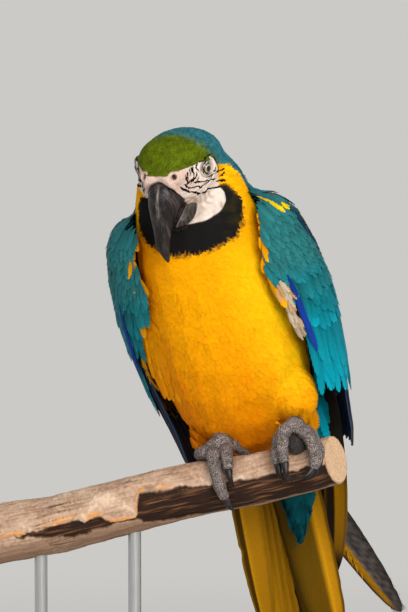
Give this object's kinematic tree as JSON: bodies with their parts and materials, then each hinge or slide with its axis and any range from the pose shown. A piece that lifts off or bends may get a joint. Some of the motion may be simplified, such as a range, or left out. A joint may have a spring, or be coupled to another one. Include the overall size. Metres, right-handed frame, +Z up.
{
  "type": "blue-and-yellow macaw",
  "caption": "Life-size still model of a blue-and-yellow macaw gripping a cut branch, held by a plain display stand.",
  "frame": {"origin": "on the flat underside of the stand's base, straight below the place where the bird grips the branch", "axes": "+Z up; the bird looks along -Y, its head turned a little towards -X, and its left side is +X"},
  "size_m": [0.3924, 0.3572, 0.774],
  "materials": {
    "eye": "pale yellow glass eye, glossy",
    "bill_horn": "black horn, satin",
    "claw_horn": "black horn, satin",
    "foot_skin": "grey scaly skin, dull",
    "crown_plumage": "green to blue head feathers, soft",
    "body_plumage": "golden yellow body feathers, soft",
    "covert_plumage": "turquoise feathers, soft sheen",
    "flight_feather": "deep blue feathers, soft sheen",
    "tail_feather": "golden feathers, soft sheen",
    "branch_wood": "weathered bark and bare wood",
    "stand_paint": "dark satin paint",
    "stand_steel": "brushed steel"
  },
  "bodies": {
    "root": {"eye_left": "eye", "eye_right": "eye", "bill_upper": "bill_horn", "bill_lower": "bill_horn", "head": "crown_plumage", "neck": "body_plumage", "trunk": "body_plumage", "thigh_left": "body_plumage", "thigh_right": "body_plumage", "foot_left": "foot_skin", "foot_right": "foot_skin", "toe_left_1": "foot_skin", "toe_left_2": "foot_skin", "toe_left_3": "foot_skin", "toe_left_4": "foot_skin", "toe_right_1": "foot_skin", "toe_right_2": "foot_skin", "toe_right_3": "foot_skin", "toe_right_4": "foot_skin", "claw_left_1": "claw_horn", "claw_left_2": "claw_horn", "claw_left_3": "claw_horn", "claw_left_4": "claw_horn", "claw_right_1": "claw_horn", "claw_right_2": "claw_horn", "claw_right_3": "claw_horn", "claw_right_4": "claw_horn", "wing_left_coverts": "covert_plumage", "wing_right_coverts": "covert_plumage", "wing_left_secondaries": "flight_feather", "wing_right_secondaries": "flight_feather", "wing_left_primaries": "flight_feather", "wing_right_primaries": "flight_feather", "tail_coverts_under": "covert_plumage", "tail_coverts_upper": "covert_plumage", "tail_left_1": "tail_feather", "tail_left_2": "tail_feather", "tail_left_3": "tail_feather", "tail_left_4": "tail_feather", "tail_left_5": "tail_feather", "tail_left_6": "tail_feather", "tail_right_1": "tail_feather", "tail_right_2": "tail_feather", "tail_right_3": "tail_feather", "tail_right_4": "tail_feather", "tail_right_5": "tail_feather", "tail_right_6": "tail_feather", "perch_branch": "branch_wood", "stand_base": "stand_paint", "stand_rod_1": "stand_steel", "stand_rod_2": "stand_steel"}
  },
  "joints": []
}
